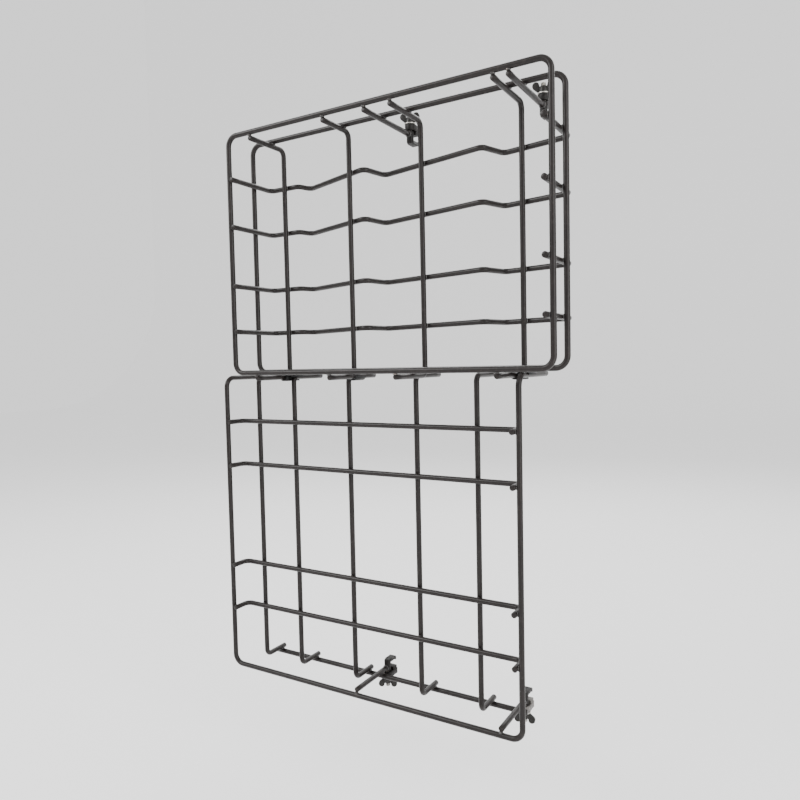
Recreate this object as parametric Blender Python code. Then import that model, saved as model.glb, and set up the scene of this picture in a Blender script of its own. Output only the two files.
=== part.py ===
"""Two-unit wire cargo basket: a deep basket above a shallow tray, hung on two carrier rails.

Frame: metres, +Z up, +X along the width, +Y towards the surface behind the rails. The origin is
on the axis of the upper carrier rail, midway between the two upper clamps. The rails themselves
aren't part of the object.
"""

import math

import bmesh
import bpy
from mathutils import Vector

MM = 0.001

# Wires
WIRE_RADIUS = 3.3 * MM
WELD_GAP = 0.3 * MM
WIRE_SIDES_RESOLUTION = 2
CORNER_RADIUS = 13 * MM
WIRE_BEND_RADIUS = 8 * MM
FLOOR_STEP_RADIUS = 7 * MM
END_OVERHANG = 5 * MM

# Overall layout
UNIT_WIDTH = 426 * MM
TRAY_SHIFT_LEFT = 49.2 * MM
BASKET_HEIGHT = 302 * MM
TRAY_HEIGHT = 401 * MM

# Depths, measured from the basket's front rim towards the back
MIDDLE_RING_DEPTH = 45 * MM
TRAY_RIM_DEPTH = 31.5 * MM
TRAY_CROSS_DEPTH = 52.5 * MM
TRAY_BOTTOM_RAIL_DEPTH = 92.7 * MM
TRAY_TOP_RAIL_DEPTH = 115 * MM
STUD_DEPTH = 106 * MM

# Positions across the width, measured from each unit's own left side
BASKET_UPRIGHTS = (36 * MM, 150 * MM, 242.5 * MM, 365 * MM)
BASKET_BARS = {"middle": 208 * MM, "right": 382 * MM}
TRAY_UPRIGHTS = (33.3 * MM, 96.2 * MM, 186 * MM, 284.7 * MM, 364.6 * MM)
TRAY_BARS = {"middle": 205.8 * MM, "right": 400.5 * MM}
TRAY_RAIL_SPAN = (22 * MM, 409 * MM)

# Heights of the wires that run across, measured from each unit's bottom rail
BASKET_FLOOR_HEIGHTS = (247 * MM, 187 * MM, 111.8 * MM, 53.4 * MM)
TRAY_CROSS_HEIGHTS = (340.3 * MM, 280 * MM, 140.8 * MM, 80.5 * MM)

# Stepped floor of the basket: (position across the width, depth) of each bend
FLOOR_CORNER_DEPTHS = (72 * MM, 77.5 * MM)
FLOOR_STEPS = (
    (54 * MM, 72 * MM),
    (60 * MM, 92 * MM),
    (171 * MM, 53.4 * MM),
    (178 * MM, 92.5 * MM),
    (327 * MM, 57.6 * MM),
    (339 * MM, 93 * MM),
)

# Rail clamps. Heights run outwards, away from the middle of the object, from the bar's axis.
CARRIER_RAIL_RADIUS = 4 * MM
RAIL_AXIS_HEIGHT = -3 * MM
BARREL_RADIUS = 4.5 * MM
BARREL_TOP = 4 * MM
HOOK_WIDTH = 8.6 * MM
HOOK_THICKNESS = 4 * MM
HOOK_TIP = 2.4 * MM
HOOK_TIP_HEIGHT = 1.6 * MM
JAW_WIDTH = 13 * MM
JAW_SHOULDER = 5 * MM
JAW_TOP = 12.5 * MM
JAW_BACK = 6.2 * MM
STUD_RADIUS = 2.9 * MM
STUD_HOLE_RADIUS = 3.2 * MM
STUD_SEAT_FLOOR = -6 * MM
STUD_TOP = 26 * MM
WASHER_RADIUS = 7 * MM
WASHER_THICKNESS = 1.2 * MM
NUT_HUB_HEIGHT = 7 * MM
NUT_HUB_BASE_RADIUS = 5.6 * MM
NUT_HUB_TOP_RADIUS = 4.4 * MM
WING_SPAN = 25 * MM
WING_THICKNESS = 3.6 * MM
WING_TOP = 12.5 * MM
WING_TURNS = {"basket_middle": 15, "basket_right": 12, "tray_middle": 25, "tray_right": 12}

# Clips that tie the tray's top legs to the basket's bottom legs
CLIP_WALL = 1.6 * MM
CLIP_START_DEPTH = 50 * MM
CLIP_LENGTHS = {"left": 26 * MM, "middle": 22 * MM, "right": 22 * MM}

# Places that follow from the dimensions above
CLAMP_MIDDLE = (BASKET_BARS["middle"] + BASKET_BARS["right"]) / 2
BASKET_LEFT = -CLAMP_MIDDLE
TRAY_LEFT = BASKET_LEFT - TRAY_SHIFT_LEFT
CARRIER_RAIL_DEPTH = STUD_DEPTH + BARREL_RADIUS + WELD_GAP + CARRIER_RAIL_RADIUS
FRONT = -CARRIER_RAIL_DEPTH
CROSSING = 2 * WIRE_RADIUS + WELD_GAP
BASKET_TOP = CROSSING - RAIL_AXIS_HEIGHT
BASKET_BOTTOM = BASKET_TOP - BASKET_HEIGHT
TRAY_TOP = BASKET_BOTTOM - CROSSING
TRAY_BOTTOM = TRAY_TOP - TRAY_HEIGHT
HOOK_FACE = RAIL_AXIS_HEIGHT - CARRIER_RAIL_RADIUS
JAW_FACE = RAIL_AXIS_HEIGHT + CARRIER_RAIL_RADIUS
WASHER_FACE = JAW_TOP + WELD_GAP
NUT_FACE = WASHER_FACE + WASHER_THICKNESS + WELD_GAP
STUD_Y = STUD_DEPTH - CARRIER_RAIL_DEPTH
BAR_END = STUD_DEPTH - BARREL_RADIUS - WELD_GAP
HOOK_REACH = CARRIER_RAIL_RADIUS + 2 * WELD_GAP


def clear_scene():
    for old in list(bpy.data.objects):
        bpy.data.objects.remove(old, do_unlink=True)


def make_material(name, colour, roughness, metallic):
    material = bpy.data.materials.new(name)
    material.use_nodes = True
    shader = material.node_tree.nodes["Principled BSDF"]
    shader.inputs["Base Color"].default_value = (*colour, 1.0)
    shader.inputs["Roughness"].default_value = roughness
    shader.inputs["Metallic"].default_value = metallic
    return material


def finish(thing, material):
    """Give an object its own copy of a material and put it in the scene."""
    thing.data.materials.clear()
    own = material.copy()
    own.name = thing.name + "_material"
    thing.data.materials.append(own)
    bpy.context.scene.collection.objects.link(thing)
    return thing


def rounded_path(points, radii, closed=False, steps=4):
    """Replace each corner of a polyline by an arc of its own radius."""
    corners = [Vector(point) for point in points]
    count = len(corners)
    path = []
    for index, corner in enumerate(corners):
        if not closed and index in (0, count - 1):
            path.append(corner)
            continue
        to_last = (corners[index - 1] - corner).normalized()
        to_next = (corners[(index + 1) % count] - corner).normalized()
        half_angle = to_last.angle(to_next) / 2
        radius = radii[index]
        centre = corner + (to_last + to_next).normalized() * radius / math.sin(half_angle)
        start = corner + to_last * radius / math.tan(half_angle) - centre
        forward = -to_last * radius
        sweep = math.pi - 2 * half_angle
        for step in range(steps + 1):
            turn = sweep * step / steps
            path.append(centre + start * math.cos(turn) + forward * math.sin(turn))
    return path


def make_wire(name, path, material, closed=False):
    """A round wire along a path: a curve with a round bevel and filled ends."""
    curve = bpy.data.curves.new(name, "CURVE")
    curve.dimensions = "3D"
    curve.bevel_depth = WIRE_RADIUS
    curve.bevel_resolution = WIRE_SIDES_RESOLUTION
    curve.use_fill_caps = not closed
    spline = curve.splines.new("POLY")
    spline.points.add(len(path) - 1)
    for point, place in zip(spline.points, path):
        point.co = (*place, 1.0)
    spline.use_cyclic_u = closed
    spline.use_smooth = True
    return finish(bpy.data.objects.new(name, curve), material)


def make_ring(name, y, material):
    """A closed rectangular ring with rounded corners, in a plane of constant depth."""
    left = BASKET_LEFT
    right = BASKET_LEFT + UNIT_WIDTH
    bottom, top = BASKET_BOTTOM, BASKET_TOP
    corners = ((left, y, bottom), (right, y, bottom), (right, y, top), (left, y, top))
    path = rounded_path(corners, [CORNER_RADIUS] * 4, closed=True)
    make_wire(name, path, material, closed=True)


def floor_outline():
    """Plan of a basket floor wire: (x from the basket's left side, depth) of each bend."""
    left_depth, right_depth = FLOOR_CORNER_DEPTHS
    right = UNIT_WIDTH - CROSSING
    outline = [(CROSSING, -END_OVERHANG), (CROSSING, left_depth)]
    outline.extend(FLOOR_STEPS)
    outline.extend([(right, right_depth), (right, -END_OVERHANG)])
    return outline


def floor_depth_and_slope(across):
    """Depth of the floor wires' axis at one place across the width, and its slope there."""
    outline = floor_outline()
    for (x_a, depth_a), (x_b, depth_b) in zip(outline, outline[1:]):
        if x_a < across <= x_b:
            slope = (depth_b - depth_a) / (x_b - x_a)
            return depth_a + slope * (across - x_a), slope
    raise ValueError("place lies outside the floor")


def make_basket(material):
    top, bottom, left = BASKET_TOP, BASKET_BOTTOM, BASKET_LEFT
    make_ring("basket_rim", FRONT, material)
    make_ring("basket_middle_ring", FRONT + MIDDLE_RING_DEPTH, material)

    # Uprights start under the top rails, run down in front of the floor wires and come forward
    # again under the bottom rails.
    leg_front = FRONT
    for number, across in enumerate(BASKET_UPRIGHTS, start=1):
        depth, slope = floor_depth_and_slope(across)
        y = FRONT + depth - CROSSING * math.sqrt(1 + slope ** 2)
        x = left + across
        corners = (
            (x, leg_front, top - CROSSING),
            (x, y, top - CROSSING),
            (x, y, bottom - CROSSING),
            (x, leg_front, bottom - CROSSING),
        )
        path = rounded_path(corners, [0, WIRE_BEND_RADIUS, WIRE_BEND_RADIUS, 0])
        make_wire(f"basket_upright_{number}", path, material)

    # Floor wires start on the inside of the rings, run back and step across the width.
    outline = floor_outline()
    radii = [0, WIRE_BEND_RADIUS] + [FLOOR_STEP_RADIUS] * len(FLOOR_STEPS) + [WIRE_BEND_RADIUS, 0]
    for number, height in enumerate(BASKET_FLOOR_HEIGHTS, start=1):
        corners = [(left + x, FRONT + depth, bottom + height) for x, depth in outline]
        path = rounded_path(corners, radii)
        make_wire(f"basket_floor_wire_{number}", path, material)

    for side, across in BASKET_BARS.items():
        x = left + across
        ends = [(x, leg_front, top - CROSSING), (x, FRONT + BAR_END, top - CROSSING)]
        make_wire(f"basket_standoff_bar_{side}", ends, material)


def make_tray(material):
    top, bottom, left = TRAY_TOP, TRAY_BOTTOM, TRAY_LEFT
    right = left + UNIT_WIDTH
    rim_y = FRONT + TRAY_RIM_DEPTH
    cross_y = FRONT + TRAY_CROSS_DEPTH
    upright_y = cross_y + CROSSING
    top_rail_y = FRONT + TRAY_TOP_RAIL_DEPTH
    bottom_rail_y = FRONT + TRAY_BOTTOM_RAIL_DEPTH
    top_leg_end = top_rail_y + END_OVERHANG
    bottom_leg_end = bottom_rail_y + END_OVERHANG

    # The rim is a U. The tops of its sides turn back as legs.
    corners = (
        (left, top_leg_end, top),
        (left, rim_y, top),
        (left, rim_y, bottom),
        (right, rim_y, bottom),
        (right, rim_y, top),
        (right, top_leg_end, top),
    )
    path = rounded_path(corners, [0] + [CORNER_RADIUS] * 4 + [0])
    make_wire("tray_rim", path, material)

    # Cross wires start on the inside of the rim, step back and run straight across.
    x_left = left + CROSSING
    x_right = right - CROSSING
    for number, height in enumerate(TRAY_CROSS_HEIGHTS, start=1):
        z = bottom + height
        corners = (
            (x_left, rim_y - END_OVERHANG, z),
            (x_left, cross_y, z),
            (x_right, cross_y, z),
            (x_right, rim_y - END_OVERHANG, z),
        )
        path = rounded_path(corners, [0, WIRE_BEND_RADIUS, WIRE_BEND_RADIUS, 0])
        make_wire(f"tray_cross_wire_{number}", path, material)

    # Uprights lie behind the cross wires. Their legs turn back: the top ones under the top rail,
    # the bottom ones over the bottom rail.
    for number, across in enumerate(TRAY_UPRIGHTS, start=1):
        x = left + across
        corners = (
            (x, top_leg_end, top),
            (x, upright_y, top),
            (x, upright_y, bottom + CROSSING),
            (x, bottom_leg_end, bottom + CROSSING),
        )
        path = rounded_path(corners, [0, WIRE_BEND_RADIUS, WIRE_BEND_RADIUS, 0])
        make_wire(f"tray_upright_{number}", path, material)

    top_rail = [(left - END_OVERHANG, top_rail_y, top + CROSSING),
                (right + END_OVERHANG, top_rail_y, top + CROSSING)]
    make_wire("tray_top_rail", top_rail, material)
    bottom_rail = [(left + across, bottom_rail_y, bottom) for across in TRAY_RAIL_SPAN]
    make_wire("tray_bottom_rail", bottom_rail, material)

    for side, across in TRAY_BARS.items():
        x = left + across
        ends = [(x, rim_y, bottom + CROSSING), (x, FRONT + BAR_END, bottom + CROSSING)]
        make_wire(f"tray_standoff_bar_{side}", ends, material)


def arc(centre, radius, start, end, steps):
    """Points along an arc, with the angles in degrees."""
    points = []
    for step in range(steps + 1):
        angle = math.radians(start + (end - start) * step / steps)
        points.append((centre[0] + radius * math.cos(angle), centre[1] + radius * math.sin(angle)))
    return points


def extruded(name, outline, low, high, along):
    """A plate with the given outline, thick along one axis ("x", "y" or "z")."""
    order = {"x": (2, 0, 1), "y": (0, 2, 1), "z": (0, 1, 2)}[along]
    shape = bmesh.new()
    corners = []
    for first, second in outline:
        spot = (first, second, low)
        corners.append(shape.verts.new([spot[axis] for axis in order]))
    swept = bmesh.ops.extrude_face_region(shape, geom=[shape.faces.new(corners)])
    moved = [item for item in swept["geom"] if isinstance(item, bmesh.types.BMVert)]
    step = (0.0, 0.0, high - low)
    bmesh.ops.translate(shape, verts=moved, vec=[step[axis] for axis in order])
    bmesh.ops.recalc_face_normals(shape, faces=shape.faces)
    mesh = bpy.data.meshes.new(name)
    shape.to_mesh(mesh)
    shape.free()
    return mesh


def turned(name, profile, y=0.0, sides=16):
    """A round piece or cutter on a vertical axis at depth y, from (radius, height) pairs."""
    shape = bmesh.new()
    rings = []
    for radius, height in profile:
        ring = []
        for side in range(sides):
            angle = 2 * math.pi * side / sides
            spot = (radius * math.cos(angle), y + radius * math.sin(angle), height)
            ring.append(shape.verts.new(spot))
        rings.append(ring)
    for lower, upper in zip(rings, rings[1:]):
        for side in range(sides):
            after = (side + 1) % sides
            shape.faces.new((lower[side], lower[after], upper[after], upper[side]))
    shape.faces.new(reversed(rings[0]))
    shape.faces.new(rings[-1])
    mesh = bpy.data.meshes.new(name)
    shape.to_mesh(mesh)
    shape.free()
    return mesh


def stud_hole(low):
    """Cutter for the clearance hole that the stud passes through."""
    return turned("hole", [(STUD_HOLE_RADIUS, low), (STUD_HOLE_RADIUS, 2 * STUD_TOP)], STUD_Y)


def combined(name, base, others, operation):
    """Join or cut meshes with the exact Boolean and return the resulting mesh."""
    holder = bpy.data.objects.new(name, base)
    bpy.context.scene.collection.objects.link(holder)
    tools = []
    for other in others:
        tool = bpy.data.objects.new(name + "_tool", other)
        tool.hide_render = True
        tool.display_type = "WIRE"
        bpy.context.scene.collection.objects.link(tool)
        tools.append(tool)
        modifier = holder.modifiers.new("combine", "BOOLEAN")
        modifier.object = tool
        modifier.operation = operation
        modifier.solver = "EXACT"
    bpy.context.view_layer.update()
    graph = bpy.context.evaluated_depsgraph_get()
    result = bpy.data.meshes.new_from_object(holder.evaluated_get(graph))
    result.name = name
    for thing in tools + [holder]:
        bpy.data.objects.remove(thing, do_unlink=True)
    return result


def hook_mesh():
    """Cast hook: a barrel that takes the stud, with a short flat jaw that runs under the rail."""
    bottom = HOOK_FACE - HOOK_THICKNESS
    dome = [(BARREL_RADIUS * 0.6, bottom), (BARREL_RADIUS * 0.9, bottom + 0.6 * MM)]
    sides = [(BARREL_RADIUS, bottom + 1.8 * MM), (BARREL_RADIUS, BARREL_TOP)]
    barrel = turned("barrel", dome + sides, STUD_Y, sides=24)
    front = STUD_Y + BARREL_RADIUS / 4
    tip = HOOK_FACE + HOOK_TIP_HEIGHT
    back = HOOK_REACH + HOOK_TIP
    outline = [(front, bottom)]
    outline += arc((back - HOOK_TIP, bottom + HOOK_TIP), HOOK_TIP, -90, 0, 4)
    outline += arc((back - HOOK_TIP / 2, tip - HOOK_TIP / 2), HOOK_TIP / 2, 0, 180, 6)
    outline += [(HOOK_REACH, HOOK_FACE), (front, HOOK_FACE)]
    jaw = extruded("jaw", outline, -HOOK_WIDTH / 2, HOOK_WIDTH / 2, "x")
    body = combined("body", barrel, [jaw], "UNION")
    return combined("clamp_hook_mesh", body, [stud_hole(STUD_SEAT_FLOOR)], "DIFFERENCE")


def jaw_mesh():
    """Sliding jaw: a sleeve round the stud with a foot behind the barrel that presses the rail."""
    half = JAW_WIDTH / 2
    outline = arc((0.0, STUD_Y), half, 180, 360, 12) + [(half, JAW_BACK), (-half, JAW_BACK)]
    sleeve = extruded("sleeve", outline, JAW_SHOULDER, JAW_TOP, "z")
    foot_front = STUD_Y + BARREL_RADIUS + WELD_GAP
    foot_outline = (
        (foot_front, JAW_FACE),
        (JAW_BACK - MM, JAW_FACE),
        (JAW_BACK - MM, JAW_TOP - MM),
        (foot_front, JAW_TOP - MM),
    )
    foot = extruded("foot", foot_outline, -half + MM / 2, half - MM / 2, "x")
    body = combined("body", sleeve, [foot], "UNION")
    return combined("clamp_jaw_mesh", body, [stud_hole(0.0)], "DIFFERENCE")


def washer_mesh():
    rim = [(WASHER_RADIUS, WASHER_FACE), (WASHER_RADIUS, WASHER_FACE + WASHER_THICKNESS)]
    disc = turned("disc", rim, STUD_Y, sides=24)
    return combined("clamp_washer_mesh", disc, [stud_hole(0.0)], "DIFFERENCE")


def wing_nut_mesh():
    """Wing nut with its axis through the origin and its face at height zero."""
    cone = [(NUT_HUB_BASE_RADIUS, 0.0), (NUT_HUB_TOP_RADIUS, NUT_HUB_HEIGHT)]
    hub = turned("hub", cone, sides=24)
    lobe = WING_TOP / 3
    lobe_centre = (WING_SPAN / 2 - lobe, WING_TOP - lobe)
    root = NUT_HUB_TOP_RADIUS - WING_THICKNESS / 4
    outline = [(root, NUT_HUB_HEIGHT * 0.8), (root, NUT_HUB_HEIGHT * 0.15)]
    outline += [(NUT_HUB_BASE_RADIUS + MM, NUT_HUB_HEIGHT * 0.2)]
    outline += arc(lobe_centre, lobe, -40, 140, 8)
    wings = []
    for side in (1, -1):
        mirrored = [(side * across, height) for across, height in outline]
        wing = extruded("wing", mirrored, -WING_THICKNESS / 2, WING_THICKNESS / 2, "y")
        wings.append(wing)
    bore = turned("bore", [(STUD_HOLE_RADIUS, -STUD_TOP), (STUD_HOLE_RADIUS, STUD_TOP)])
    body = combined("body", hub, wings, "UNION")
    return combined("wing_nut_mesh", body, [bore], "DIFFERENCE")


def place(name, mesh, location, flipped, turn, material):
    """Put a copy of a piece on the object. A flipped one points down instead of up."""
    thing = bpy.data.objects.new(name, mesh.copy())
    thing.location = location
    thing.rotation_euler = (0, 0, turn)
    if flipped:
        for vertex in thing.data.vertices:
            vertex.co.z = -vertex.co.z
        thing.data.flip_normals()
    thing.data.shade_smooth()
    thing.data.set_sharp_from_angle(angle=math.radians(35))
    return finish(thing, material)


def make_clamps(cast, plated, blackened):
    hook, jaw, washer, nut = hook_mesh(), jaw_mesh(), washer_mesh(), wing_nut_mesh()
    shank = [(STUD_RADIUS, STUD_SEAT_FLOOR + WELD_GAP), (STUD_RADIUS, STUD_TOP)]
    stud = turned("clamp_stud_mesh", shank, STUD_Y, sides=20)
    sites = []
    for side, across in BASKET_BARS.items():
        sites.append((f"basket_{side}", BASKET_LEFT + across, BASKET_TOP - CROSSING, False))
    for side, across in TRAY_BARS.items():
        sites.append((f"tray_{side}", TRAY_LEFT + across, TRAY_BOTTOM + CROSSING, True))
    for label, x, z, flipped in sites:
        site = (x, 0.0, z)
        place(f"clamp_hook_{label}", hook, site, flipped, 0.0, cast)
        place(f"clamp_stud_{label}", stud, site, flipped, 0.0, plated)
        place(f"clamp_jaw_{label}", jaw, site, flipped, 0.0, cast)
        place(f"clamp_washer_{label}", washer, site, flipped, 0.0, plated)
        outward = -1 if flipped else 1
        nut_site = (x, STUD_Y, z + outward * NUT_FACE)
        turn = math.radians(WING_TURNS[label])
        place(f"wing_nut_{label}", nut, nut_site, flipped, turn, blackened)


def clip_outline(reach):
    """S-shaped section of a clip, measured from the basket leg towards the tray leg.

    One trough opens upwards under the basket leg and the other opens downwards over the tray leg.
    """
    inner = WIRE_RADIUS + WELD_GAP
    outer = inner + CLIP_WALL
    basket_leg, tray_leg = (0.0, 0.0), (reach, 0.0)
    outline = arc(basket_leg, outer, 180, 270, 4)
    outline.append((reach - inner, -outer))
    outline += arc(tray_leg, inner, 180, 0, 8)
    outline += arc(tray_leg, outer, 0, 90, 4)
    outline.append((inner, outer))
    outline += arc(basket_leg, inner, 0, -180, 8)
    return outline


def make_clips(material):
    """Clips that tie a basket leg to the tray leg beside it."""
    pairs = {
        "left": (BASKET_UPRIGHTS[0], TRAY_UPRIGHTS[1]),
        "middle": (BASKET_UPRIGHTS[1], TRAY_UPRIGHTS[2]),
        "right": (BASKET_UPRIGHTS[3], UNIT_WIDTH),
    }
    start = FRONT + CLIP_START_DEPTH
    for side, (basket_across, tray_across) in pairs.items():
        basket_x = BASKET_LEFT + basket_across
        tray_x = TRAY_LEFT + tray_across
        facing = 1 if tray_x > basket_x else -1
        outline = clip_outline(abs(tray_x - basket_x))
        outline = [(facing * across, height) for across, height in outline]
        mesh = extruded(side, outline, start, start + CLIP_LENGTHS[side], "y")
        place(f"joining_clip_{side}", mesh, (basket_x, 0.0, TRAY_TOP), False, 0.0, material)


def main():
    clear_scene()
    coated = make_material("coated_wire", (0.032, 0.027, 0.024), 0.42, 0.35)
    cast = make_material("clamp_casting", (0.030, 0.029, 0.027), 0.5, 0.2)
    plated = make_material("plated_steel", (0.42, 0.40, 0.37), 0.3, 0.9)
    blackened = make_material("blackened_nut", (0.055, 0.052, 0.048), 0.38, 0.6)
    nylon = make_material("clip_nylon", (0.018, 0.018, 0.018), 0.55, 0.0)
    make_basket(coated)
    make_tray(coated)
    make_clamps(cast, plated, blackened)
    make_clips(nylon)


main()
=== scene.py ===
"""Looks of the two-unit wire cargo basket: coated wire, weld beads, threaded clamps and studio.

Everything is in metres, in the frame of the CAD part. The places of all pieces come from the
boxes of the CAD nodes.
"""

import itertools
import math
import random

import bmesh
import bpy
import numpy as np
from mathutils import Matrix, Vector, noise


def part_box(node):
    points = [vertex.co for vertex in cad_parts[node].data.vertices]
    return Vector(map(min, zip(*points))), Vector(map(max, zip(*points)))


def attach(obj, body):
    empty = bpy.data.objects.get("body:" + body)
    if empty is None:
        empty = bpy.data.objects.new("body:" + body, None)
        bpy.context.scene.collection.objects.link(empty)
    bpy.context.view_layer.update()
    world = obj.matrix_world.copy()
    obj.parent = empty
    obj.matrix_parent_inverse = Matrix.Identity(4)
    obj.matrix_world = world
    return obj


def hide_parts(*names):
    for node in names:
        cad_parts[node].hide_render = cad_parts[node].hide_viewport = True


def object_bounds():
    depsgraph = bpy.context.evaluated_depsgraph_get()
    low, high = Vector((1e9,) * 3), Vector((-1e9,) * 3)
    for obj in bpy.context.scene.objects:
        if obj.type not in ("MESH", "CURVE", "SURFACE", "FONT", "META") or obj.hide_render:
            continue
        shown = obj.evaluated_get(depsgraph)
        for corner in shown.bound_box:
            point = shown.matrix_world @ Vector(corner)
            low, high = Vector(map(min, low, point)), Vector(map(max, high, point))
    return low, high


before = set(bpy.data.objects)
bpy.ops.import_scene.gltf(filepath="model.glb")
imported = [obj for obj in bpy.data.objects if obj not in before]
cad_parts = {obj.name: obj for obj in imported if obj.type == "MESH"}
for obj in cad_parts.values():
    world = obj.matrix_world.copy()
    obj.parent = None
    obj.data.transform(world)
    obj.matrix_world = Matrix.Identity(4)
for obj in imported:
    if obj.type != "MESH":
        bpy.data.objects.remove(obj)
cad_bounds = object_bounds()

MM = 0.001
ROOT = "cargo_basket"
CLAMPS = ("basket_middle", "basket_right", "tray_middle", "tray_right")

# Wire sizes and bends, as in the CAD part
WIRE_RADIUS = 3.3 * MM
CORNER_RADIUS = 13 * MM
WIRE_BEND_RADIUS = 8 * MM
FLOOR_STEP_RADIUS = 7 * MM
END_OVERHANG = 5 * MM
STUD_PITCH = 1 * MM

# A wire's end, rounded: how far in from the end, and the share of its radius there
END_ROUNDING = ((0.0, 0.72), (0.25 * MM, 0.9))
END_SHOULDER = 0.7 * MM
LONGEST_SPAN = 12 * MM

# Weld beads and the collars round the bars' ends
WELD_REACH = 0.45 * MM
WELD_SPACING = 12 * MM
BEAD_HALF_WIDTHS = (2.5, 3.1)
BEAD_HALF_HEIGHTS = (1.35, 1.65)
COLLAR_RADIUS = 1.0 * MM

THREAD_DEPTH = 0.55 * MM

# The camera: its turns, its lens, and its place from the lower left corner of the basket's rim
CAMERA_YAW = math.radians(30.87)
CAMERA_PITCH = math.radians(3.06)
CAMERA_ROLL = -0.0211
CAMERA_LENS = 30.79
CAMERA_OFFSET = (0.64172, -0.65828, 0.00823)

# Bends of the basket's floor wires: across from the basket's left side, back from its front rim
FLOOR_STEPS = ((54, 72), (60, 92), (171, 53.4), (178, 92.5), (327, 57.6), (339, 93))
FLOOR_CORNER_DEPTHS = (72, 77.5)


# ---------------------------------------------------------------- wires

def inner_box(node):
    """The box that a wire's centre line fills, from the box of its CAD node."""
    low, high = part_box(node)
    inset = Vector((WIRE_RADIUS, WIRE_RADIUS, WIRE_RADIUS))
    return Vector(low) + inset, Vector(high) - inset


def rounded_path(points, radii, closed=False, steps=10):
    """Replace each corner of a polyline by an arc of its own radius."""
    corners = [Vector(point) for point in points]
    count = len(corners)
    path = []
    for index, corner in enumerate(corners):
        if not closed and index in (0, count - 1):
            path.append(corner)
            continue
        to_last = (corners[index - 1] - corner).normalized()
        to_next = (corners[(index + 1) % count] - corner).normalized()
        half_angle = to_last.angle(to_next) / 2
        radius = radii[index]
        centre = corner + (to_last + to_next).normalized() * radius / math.sin(half_angle)
        start = corner + to_last * radius / math.tan(half_angle) - centre
        forward = -to_last * radius
        sweep = math.pi - 2 * half_angle
        for step in range(steps + 1):
            turn = sweep * step / steps
            path.append(centre + start * math.cos(turn) + forward * math.sin(turn))
    return path


def split_long_spans(path, closed):
    """Add points along the straight lengths, so that a wire can be slightly uneven."""
    result = []
    count = len(path)
    for index, point in enumerate(path):
        result.append(point)
        if index == count - 1 and not closed:
            break
        after = path[(index + 1) % count]
        pieces = max(1, round((after - point).length / LONGEST_SPAN))
        for piece in range(1, pieces):
            result.append(point.lerp(after, piece / pieces))
    return result


def ring_of(shape, centre, across, up, radius, sides):
    ring = []
    for side in range(sides):
        angle = 2 * math.pi * side / sides
        offset = across * math.cos(angle) + up * math.sin(angle)
        ring.append(shape.verts.new(centre + offset * radius))
    return ring


def bridge(shape, rings, closed):
    sides = len(rings[0])
    pairs = list(zip(rings, rings[1:]))
    if closed:
        pairs.append((rings[-1], rings[0]))
    for first, second in pairs:
        for side in range(sides):
            after = (side + 1) % sides
            shape.faces.new((first[side], first[after], second[after], second[side]))


def cap_ends(shape, rings):
    shape.faces.new(reversed(rings[0]))
    shape.faces.new(rings[-1])


def finished_mesh(name, shape):
    bmesh.ops.recalc_face_normals(shape, faces=shape.faces)
    mesh = bpy.data.meshes.new(name)
    shape.to_mesh(mesh)
    shape.free()
    return mesh


def tube_mesh(name, path, closed, sides=18):
    """A slightly uneven round wire with rounded ends."""
    path = split_long_spans(path, closed)
    count = len(path)
    tangents = []
    for index in range(count):
        if closed:
            step = path[(index + 1) % count] - path[index - 1]
        else:
            step = path[min(index + 1, count - 1)] - path[max(index - 1, 0)]
        tangents.append(step.normalized())
    across = tangents[0].orthogonal().normalized()
    shape = bmesh.new()
    rings = []
    for index, point in enumerate(path):
        tangent = tangents[index]
        if index:
            across.rotate(tangents[index - 1].rotation_difference(tangent))
        across = (across - tangent * across.dot(tangent)).normalized()
        up = tangent.cross(across)
        swell = 1 + 0.006 * noise.noise(point * 60)
        sections = [(0.0, swell)]
        if not closed and index == 0:
            sections = [*END_ROUNDING, (END_SHOULDER, swell)]
        elif not closed and index == count - 1:
            rounding = [(-inset, scale) for inset, scale in reversed(END_ROUNDING)]
            sections = [(-END_SHOULDER, swell), *rounding]
        for along, scale in sections:
            centre = point + tangent * along
            rings.append(ring_of(shape, centre, across, up, WIRE_RADIUS * scale, sides))
    bridge(shape, rings, closed)
    if not closed:
        cap_ends(shape, rings)
    return finished_mesh(name, shape)


def add_object(name, mesh, material, body=ROOT, angle=40):
    thing = bpy.data.objects.new(name, mesh)
    bpy.context.scene.collection.objects.link(thing)
    thing.data.materials.append(material)
    thing.data.shade_smooth()
    thing.data.set_sharp_from_angle(angle=math.radians(angle))
    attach(thing, body)
    return thing


def ring_path(node):
    low, high = inner_box(node)
    y = (low.y + high.y) / 2
    corners = ((low.x, y, low.z), (high.x, y, low.z), (high.x, y, high.z), (low.x, y, high.z))
    return rounded_path(corners, [CORNER_RADIUS] * 4, closed=True)


def basket_upright_path(node):
    low, high = inner_box(node)
    x = (low.x + high.x) / 2
    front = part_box(node)[0][1]
    corners = ((x, front, high.z), (x, high.y, high.z), (x, high.y, low.z), (x, front, low.z))
    return rounded_path(corners, [0, WIRE_BEND_RADIUS, WIRE_BEND_RADIUS, 0])


def floor_wire_path(node):
    low, high = inner_box(node)
    z = (low.z + high.z) / 2
    rim_low, _ = inner_box("basket_rim")
    left, front = rim_low.x, rim_low.y
    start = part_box(node)[0][1]
    corners = [(low.x, start, z), (low.x, front + FLOOR_CORNER_DEPTHS[0] * MM, z)]
    corners += [(left + x * MM, front + depth * MM, z) for x, depth in FLOOR_STEPS]
    corners += [(high.x, front + FLOOR_CORNER_DEPTHS[1] * MM, z), (high.x, start, z)]
    radii = [0, WIRE_BEND_RADIUS] + [FLOOR_STEP_RADIUS] * len(FLOOR_STEPS) + [WIRE_BEND_RADIUS, 0]
    return rounded_path(corners, radii)


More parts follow.
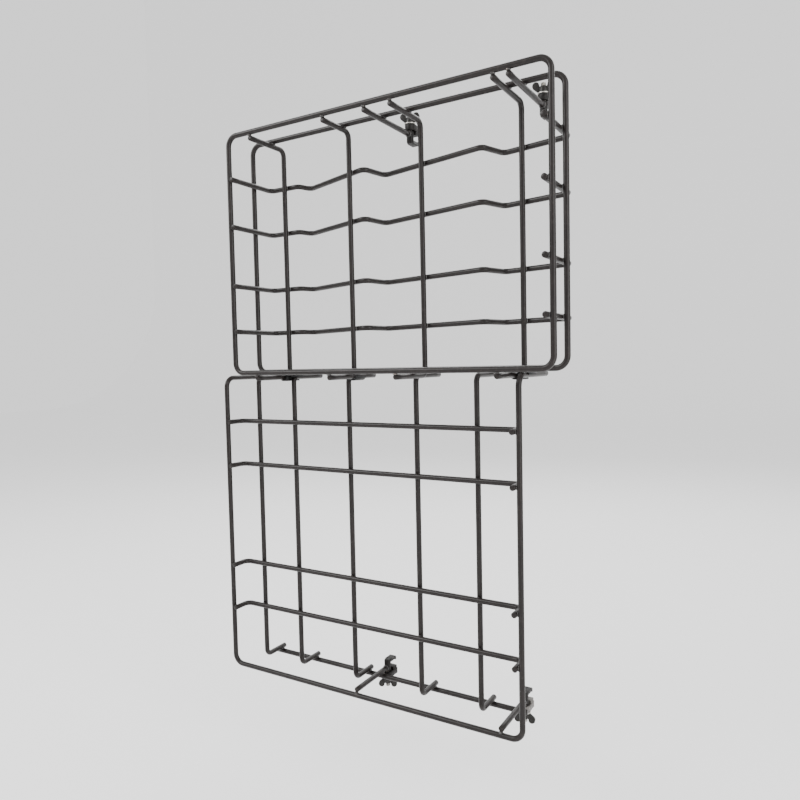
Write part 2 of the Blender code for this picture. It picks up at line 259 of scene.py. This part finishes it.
def cross_wire_path(node):
    low, high = inner_box(node)
    z = (low.z + high.z) / 2
    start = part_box(node)[0][1]
    corners = ((low.x, start, z), (low.x, high.y, z), (high.x, high.y, z), (high.x, start, z))
    return rounded_path(corners, [0, WIRE_BEND_RADIUS, WIRE_BEND_RADIUS, 0])


def tray_upright_path(node):
    low, high = inner_box(node)
    x = (low.x + high.x) / 2
    top_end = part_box(node)[1][1]
    rail_low, rail_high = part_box("tray_bottom_rail")
    bottom_end = (rail_low[1] + rail_high[1]) / 2 + END_OVERHANG
    corners = ((x, top_end, high.z), (x, low.y, high.z), (x, low.y, low.z), (x, bottom_end, low.z))
    return rounded_path(corners, [0, WIRE_BEND_RADIUS, WIRE_BEND_RADIUS, 0])


def tray_rim_path(node):
    low, high = inner_box(node)
    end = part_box(node)[1][1]
    corners = (
        (low.x, end, high.z),
        (low.x, low.y, high.z),
        (low.x, low.y, low.z),
        (high.x, low.y, low.z),
        (high.x, low.y, high.z),
        (high.x, end, high.z),
    )
    return rounded_path(corners, [0] + [CORNER_RADIUS] * 4 + [0])


def straight_path(node, axis):
    low, high = (Vector(corner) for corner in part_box(node))
    start = (low + high) / 2
    end = start.copy()
    start[axis] = low[axis]
    end[axis] = high[axis]
    return [start, end]


def standoff_bar(label):
    """The node of the bar that ends in a clamp."""
    unit, side = label.split("_")
    return f"{unit}_standoff_bar_{side}"


def all_wires():
    """(node, path, closed) of every wire in the object."""
    wires = [
        ("basket_rim", ring_path("basket_rim"), True),
        ("basket_middle_ring", ring_path("basket_middle_ring"), True),
        ("tray_rim", tray_rim_path("tray_rim"), False),
    ]
    families = (
        ("basket_upright", basket_upright_path),
        ("basket_floor_wire", floor_wire_path),
        ("tray_cross_wire", cross_wire_path),
        ("tray_upright", tray_upright_path),
    )
    for family, path_of in families:
        for node in sorted(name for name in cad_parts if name.startswith(family)):
            wires.append((node, path_of(node), False))
    for node in ("tray_top_rail", "tray_bottom_rail"):
        wires.append((node, straight_path(node, 0), False))
    for label in CLAMPS:
        node = standoff_bar(label)
        wires.append((node, straight_path(node, 1), False))
    return wires


# ---------------------------------------------------------------- welds

def segments_of(path, closed):
    points = np.array([tuple(point) for point in split_long_spans(path, closed)])
    starts = points if closed else points[:-1]
    ends = np.roll(points, -1, axis=0) if closed else points[1:]
    return starts, ends


def nearest_points(start_a, end_a, start_b, end_b):
    """The nearest points of two straight segments."""
    along_a, along_b, between = end_a - start_a, end_b - start_b, start_a - start_b
    aa, ab, bb = along_a @ along_a, along_a @ along_b, along_b @ along_b
    da, db = along_a @ between, along_b @ between
    spread = aa * bb - ab * ab
    part_a = 0.5 if spread < 1e-14 else min(1.0, max(0.0, (ab * db - bb * da) / spread))
    part_b = min(1.0, max(0.0, (ab * part_a + db) / bb))
    part_a = min(1.0, max(0.0, (ab * part_b - da) / aa))
    return start_a + along_a * part_a, start_b + along_b * part_b


def touching_spans(spans_a, spans_b):
    """Spans of two wires that a weld can join, the nearest first."""
    starts_a, ends_a = spans_a
    starts_b, ends_b = spans_b
    middles_a, middles_b = (starts_a + ends_a) / 2, (starts_b + ends_b) / 2
    gaps = np.linalg.norm(middles_a[:, None] - middles_b[None], axis=2)
    limit = 2 * WIRE_RADIUS + WELD_REACH
    found = []
    for a, b in zip(*np.nonzero(gaps < limit + LONGEST_SPAN + 1 * MM)):
        on_a, on_b = nearest_points(starts_a[a], ends_a[a], starts_b[b], ends_b[b])
        distance = np.linalg.norm(on_a - on_b)
        if distance < limit:
            found.append((distance, on_a, on_b, ends_a[a] - starts_a[a]))
    found.sort(key=lambda item: item[0])
    return found


def weld_places(wires):
    """Where wires cross within a weld's reach: (point, direction along one wire, normal)."""
    spans = [segments_of(path, closed) for _, path, closed in wires]
    places = []
    for first, second in itertools.combinations(spans, 2):
        kept = []
        for _, on_a, on_b, along_a in touching_spans(first, second):
            if all(np.linalg.norm(on_a - other) > WELD_SPACING for other in kept):
                kept.append(on_a)
                places.append((Vector(on_a + (on_b - on_a) * 0.5),
                               Vector(along_a).normalized(), Vector(on_b - on_a).normalized()))
    return places


def add_bead(shape, spot, along, normal, chance):
    """An uneven pad of weld metal squeezed out between two crossing wires."""
    side = normal.cross(along).normalized()
    basis = Matrix((along, side, normal)).transposed()
    lump = bmesh.ops.create_icosphere(shape, subdivisions=3, radius=1.0)
    length = chance.uniform(*BEAD_HALF_WIDTHS) * MM
    width = chance.uniform(*BEAD_HALF_WIDTHS) * MM
    height = chance.uniform(*BEAD_HALF_HEIGHTS) * MM
    seed = Vector((chance.uniform(0, 50), chance.uniform(0, 50), chance.uniform(0, 50)))
    for vert in lump["verts"]:
        rough = 1 + 0.16 * noise.noise(vert.co * 2.2 + seed)
        local = Vector((vert.co.x * length, vert.co.y * width, vert.co.z * height)) * rough
        vert.co = spot + basis @ local


def add_collar(shape, centre, chance):
    """A ring of weld metal round the end of a bar, where it meets the clamp's barrel."""
    rings = []
    seed = Vector((chance.uniform(0, 50), 0, 0))
    around, through = 36, 8
    for step in range(around):
        angle = 2 * math.pi * step / around
        out = Vector((math.cos(angle), 0, math.sin(angle)))
        middle = centre + out * (WIRE_RADIUS - 0.1 * MM)
        ripple = 1 + 0.14 * math.sin(angle * 11) + 0.2 * noise.noise(out * 2 + seed)
        along = Vector((0, 1, 0))
        rings.append(ring_of(shape, middle, out, along, COLLAR_RADIUS * ripple, through))
    bridge(shape, rings, closed=True)


def make_welds(wires, material):
    chance = random.Random(7)
    for unit in ("basket", "tray"):
        name = unit + "_welds"
        own = [wire for wire in wires if wire[0].startswith(unit)]
        shape = bmesh.new()
        for place in weld_places(own):
            add_bead(shape, *place, chance)
        for label in CLAMPS:
            if label.startswith(unit):
                bar_end = straight_path(standoff_bar(label), 1)[1]
                add_collar(shape, bar_end, chance)
        add_object(name, finished_mesh(name, shape), material, angle=180)


# ---------------------------------------------------------------- clamps

def thread_radius(angle, height, outer):
    """Radius of a right-hand thread at one place, for a point turning with the helix."""
    phase = (height / STUD_PITCH - angle / (2 * math.pi)) % 1.0
    flank = abs(2 * phase - 1)
    return outer - THREAD_DEPTH * min(1.0, max(0.0, 1.25 * (1 - flank) - 0.12))


def make_stud(label, material):
    """Threaded stud with a chamfered end."""
    node = f"clamp_stud_{label}"
    low, high = (Vector(corner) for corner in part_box(node))
    centre = (low + high) / 2
    radius = (high.x - low.x) / 2
    outward = 1 if label.startswith("basket") else -1
    length = high.z - low.z
    start_z = low.z if outward > 0 else high.z
    sides, rings_per_pitch = 24, 6
    count = int(length / STUD_PITCH * rings_per_pitch)
    shape = bmesh.new()
    rings = []
    for step in range(count + 1):
        height = length * step / count
        taper = max(0.0, height - (length - 0.8 * MM)) + max(0.0, 0.5 * MM - height)
        ring = []
        for side in range(sides):
            angle = 2 * math.pi * side / sides
            reach = thread_radius(angle, height, radius) - taper
            spot = (centre.x + reach * math.cos(angle),
                    centre.y + outward * reach * math.sin(angle),
                    start_z + outward * height)
            ring.append(shape.verts.new(spot))
        rings.append(ring)
    bridge(shape, rings, closed=False)
    cap_ends(shape, rings)
    name = f"stud_thread_{label}"
    stud = add_object(name, finished_mesh(name, shape), material, angle=60)
    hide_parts(node)


def soften(node, width, material, segments=3):
    """Give a CAD node rounded edges and its finished material."""
    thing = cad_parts[node]
    weld = thing.modifiers.new("weld", "WELD")
    weld.merge_threshold = 0.00001
    bevel = thing.modifiers.new("soft_edges", "BEVEL")
    bevel.width = width
    bevel.segments = segments
    bevel.limit_method = "ANGLE"
    bevel.angle_limit = math.radians(40)
    bevel.harden_normals = True
    for polygon in thing.data.polygons:
        polygon.use_smooth = True
    thing.data.materials.clear()
    thing.data.materials.append(material)


# ---------------------------------------------------------------- materials

def add_node(tree, kind, **inputs):
    node = tree.nodes.new(kind)
    for name, value in inputs.items():
        node.inputs[name.replace("_", " ")].default_value = value
    return node


def spotted(tree, coordinates, scale, detail, low, high):
    """Noise squeezed between two thresholds, as a 0 to 1 factor."""
    texture = add_node(tree, "ShaderNodeTexNoise", Scale=scale, Detail=detail, Roughness=0.6)
    tree.links.new(coordinates, texture.inputs["Vector"])
    squeeze = add_node(tree, "ShaderNodeMapRange")
    squeeze.inputs["From Min"].default_value = low
    squeeze.inputs["From Max"].default_value = high
    tree.links.new(texture.outputs["Fac"], squeeze.inputs["Value"])
    return squeeze.outputs["Result"], texture.outputs["Fac"]


def mixed(tree, factor, first, second):
    mix = tree.nodes.new("ShaderNodeMix")
    mix.data_type = "RGBA"
    tree.links.new(factor, mix.inputs["Factor"])
    # Of a Mix node's sockets, 6 and 7 are the colours A and B, and output 2 is their mix
    for socket, value in ((mix.inputs[6], first), (mix.inputs[7], second)):
        if isinstance(value, tuple):
            socket.default_value = (*value, 1.0)
        else:
            tree.links.new(value, socket)
    return mix.outputs[2]


def ranged(tree, value, low, high):
    scale = add_node(tree, "ShaderNodeMapRange")
    scale.inputs["To Min"].default_value = low
    scale.inputs["To Max"].default_value = high
    tree.links.new(value, scale.inputs["Value"])
    return scale.outputs["Result"]


def surface(name, colours, roughness, grain_scale, grain_height, metallic=0.0, coat=0.0,
            worn=None, worn_above=None, specular=0.5):
    """A procedural surface: two close colours, dusty spots, wear, grain and uneven gloss."""
    material = bpy.data.materials.new(name)
    material.use_nodes = True
    tree = material.node_tree
    shader = tree.nodes["Principled BSDF"]
    places = tree.nodes.new("ShaderNodeTexCoord")
    vector = places.outputs["Object"]
    broad, _ = spotted(tree, vector, 45.0, 4.0, 0.35, 0.65)
    _, grain = spotted(tree, vector, grain_scale, 3.0, 0.3, 0.7)
    colour = mixed(tree, broad, colours[0], colours[1])
    colour = mixed(tree, spotted(tree, vector, 260.0, 5.0, 0.56, 0.74)[0], colour, colours[2])
    gloss = ranged(tree, grain, roughness[0], roughness[1])
    if worn is not None:
        chips = spotted(tree, vector, 150.0, 8.0, worn_above, worn_above + 0.03)[0]
        colour = mixed(tree, chips, colour, worn)
        bare = ranged(tree, chips, metallic, 0.9)
        tree.links.new(bare, shader.inputs["Metallic"])
    else:
        shader.inputs["Metallic"].default_value = metallic
    tree.links.new(colour, shader.inputs["Base Color"])
    tree.links.new(gloss, shader.inputs["Roughness"])
    bump = add_node(tree, "ShaderNodeBump", Strength=1.0, Distance=grain_height)
    tree.links.new(grain, bump.inputs["Height"])
    tree.links.new(bump.outputs["Normal"], shader.inputs["Normal"])
    shader.inputs["Specular IOR Level"].default_value = specular
    shader.inputs["Coat Weight"].default_value = coat
    shader.inputs["Coat Roughness"].default_value = 0.25
    return material


def make_materials():
    return {
        "coat": surface(
            "powder_coat",
            ((0.0088, 0.0068, 0.0064), (0.0130, 0.0102, 0.0096), (0.026, 0.021, 0.0195)),
            roughness=(0.26, 0.42), grain_scale=1400.0, grain_height=0.00005,
            coat=0.05, worn=(0.11, 0.092, 0.080), worn_above=0.74, specular=0.20),
        "beads": surface(
            "welded_coat",
            ((0.010, 0.0085, 0.008), (0.018, 0.015, 0.014), (0.060, 0.052, 0.046)),
            roughness=(0.24, 0.42), grain_scale=1500.0, grain_height=0.00008,
            coat=0.35, worn=(0.30, 0.25, 0.21), worn_above=0.64),
        "cast": surface(
            "clamp_cast",
            ((0.0060, 0.0050, 0.0046), (0.0100, 0.0088, 0.0080), (0.026, 0.024, 0.022)),
            roughness=(0.36, 0.54), grain_scale=900.0, grain_height=0.00012,
            worn=(0.14, 0.13, 0.12), worn_above=0.70, specular=0.16),
        # A lighter, half-metallic copy of the clamp's cast finish, used only on the jaw of the
        # tray's right clamp: a painted highlight standing in for light glinting off that one jaw,
        # not a different metal
        "painted_lit_cast": surface(
            "clamp_cast_painted_lit",
            ((0.085, 0.078, 0.073), (0.120, 0.112, 0.105), (0.190, 0.180, 0.170)),
            roughness=(0.30, 0.48), grain_scale=900.0, grain_height=0.00012, metallic=0.5,
            worn=(0.34, 0.32, 0.30), worn_above=0.66, specular=0.4),
        "plated": surface(
            "zinc_plate",
            ((0.46, 0.44, 0.41), (0.36, 0.35, 0.33), (0.24, 0.22, 0.20)),
            roughness=(0.24, 0.42), grain_scale=1800.0, grain_height=0.00003, metallic=0.95),
        "black_nut": surface(
            "blackened_nut",
            ((0.0085, 0.0078, 0.0070), (0.0150, 0.0138, 0.0125), (0.036, 0.034, 0.031)),
            roughness=(0.30, 0.46), grain_scale=1100.0, grain_height=0.00006,
            worn=(0.22, 0.20, 0.18), worn_above=0.66, specular=0.22),
        "nylon": surface(
            "clip_nylon",
            ((0.0055, 0.0055, 0.0055), (0.0085, 0.0085, 0.0085), (0.017, 0.017, 0.017)),
            roughness=(0.42, 0.58), grain_scale=1300.0, grain_height=0.00006, specular=0.15),
    }


# ---------------------------------------------------------------- studio

def make_camera():
    """Camera low and to the right, near the height of the join, looking slightly down."""
    level_distance = math.cos(CAMERA_PITCH)
    forward = Vector((-math.sin(CAMERA_YAW) * level_distance,
                      math.cos(CAMERA_YAW) * level_distance, -math.sin(CAMERA_PITCH)))
    level = Vector((math.cos(CAMERA_YAW), math.sin(CAMERA_YAW), 0.0))
    above = level.cross(forward)
    right = level * math.cos(CAMERA_ROLL) + above * math.sin(CAMERA_ROLL)
    up = above * math.cos(CAMERA_ROLL) - level * math.sin(CAMERA_ROLL)
    corner, _ = inner_box("basket_rim")
    data = bpy.data.cameras.new("camera")
    data.lens = CAMERA_LENS
    data.sensor_width = 36.0
    data.clip_start = 0.02
    camera = bpy.data.objects.new("camera", data)
    spot = corner + Vector(CAMERA_OFFSET)
    turn = Matrix((right, up, -forward)).transposed().to_4x4()
    camera.matrix_world = Matrix.Translation(spot) @ turn
    bpy.context.scene.collection.objects.link(camera)
    bpy.context.scene.camera = camera


def add_light(name, spot, target, size, power, colour=(1.0, 1.0, 1.0)):
    data = bpy.data.lights.new(name, "AREA")
    data.shape = "RECTANGLE"
    data.size, data.size_y = size
    data.energy = power
    data.color = colour
    light = bpy.data.objects.new(name, data)
    light.location = spot
    light.rotation_euler = (Vector(target) - Vector(spot)).to_track_quat("-Z", "Y").to_euler()
    bpy.context.scene.collection.objects.link(light)


def make_studio(low, high):
    """A paper floor that bends up into a wall behind the object, three soft lights and a sky."""
    floor_z = low.z - 0.12
    half, front, back, top, bend, steps = 9.0, -7.0, 7.0, 8.0, 2.0, 12
    profile = [(front, 0.0), (back - bend, 0.0)]
    for step in range(1, steps + 1):
        angle = math.radians(90 * step / steps)
        profile.append((back - bend + bend * math.sin(angle), bend - bend * math.cos(angle)))
    profile.append((back, top))
    shape = bmesh.new()
    rows = []
    for y, z in profile:
        rows.append([shape.verts.new((x, y, floor_z + z)) for x in (-half, half)])
    for first, second in zip(rows, rows[1:]):
        shape.faces.new((first[0], first[1], second[1], second[0]))
    mesh = bpy.data.meshes.new("floor")
    shape.to_mesh(mesh)
    shape.free()
    floor = bpy.data.objects.new("floor", mesh)
    bpy.context.scene.collection.objects.link(floor)
    mesh.shade_smooth()
    paper = bpy.data.materials.new("floor_paper")
    paper.use_nodes = True
    shader = paper.node_tree.nodes["Principled BSDF"]
    shader.inputs["Base Color"].default_value = (0.97, 0.97, 0.97, 1.0)
    shader.inputs["Roughness"].default_value = 0.9
    mesh.materials.append(paper)

    centre = (low + high) / 2
    add_light("key", centre + Vector((-1.4, -1.6, 1.5)), centre, (1.2, 1.2), 55)
    add_light("side", centre + Vector((1.7, -0.6, 0.5)), centre, (0.9, 1.8), 30)
    add_light("back", centre + Vector((-0.4, 1.8, 1.4)), centre, (2.4, 1.2), 30)
    world = bpy.data.worlds.new("studio")
    world.use_nodes = True
    sky = world.node_tree.nodes["Background"]
    sky.inputs["Color"].default_value = (1.0, 1.0, 1.0, 1.0)
    sky.inputs["Strength"].default_value = 1.25
    bpy.context.scene.world = world


# ---------------------------------------------------------------- build

def main():
    low, high = (Vector(corner) for corner in cad_bounds)
    make_camera()
    make_studio(low, high)

    finish = make_materials()
    wires = all_wires()
    for node, path, closed in wires:
        name = node + "_wire"
        wire = add_object(name, tube_mesh(name, path, closed), finish["coat"])
        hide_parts(node)
    make_welds(wires, finish["beads"])

    for label in CLAMPS:
        # The tray's right jaw takes the lighter copy of the cast finish, a painted highlight;
        # every other clamp part keeps the dark cast finish
        jaw_finish = finish["painted_lit_cast" if label == "tray_right" else "cast"]
        make_stud(label, finish["plated"])
        soften(f"clamp_hook_{label}", 0.7 * MM, finish["cast"])
        soften(f"clamp_jaw_{label}", 0.6 * MM, jaw_finish)
        soften(f"clamp_washer_{label}", 0.15 * MM, finish["plated"], segments=2)
        soften(f"wing_nut_{label}", 0.6 * MM, finish["black_nut"])
    for side in ("left", "middle", "right"):
        soften(f"joining_clip_{side}", 0.3 * MM, finish["nylon"], segments=2)


main()
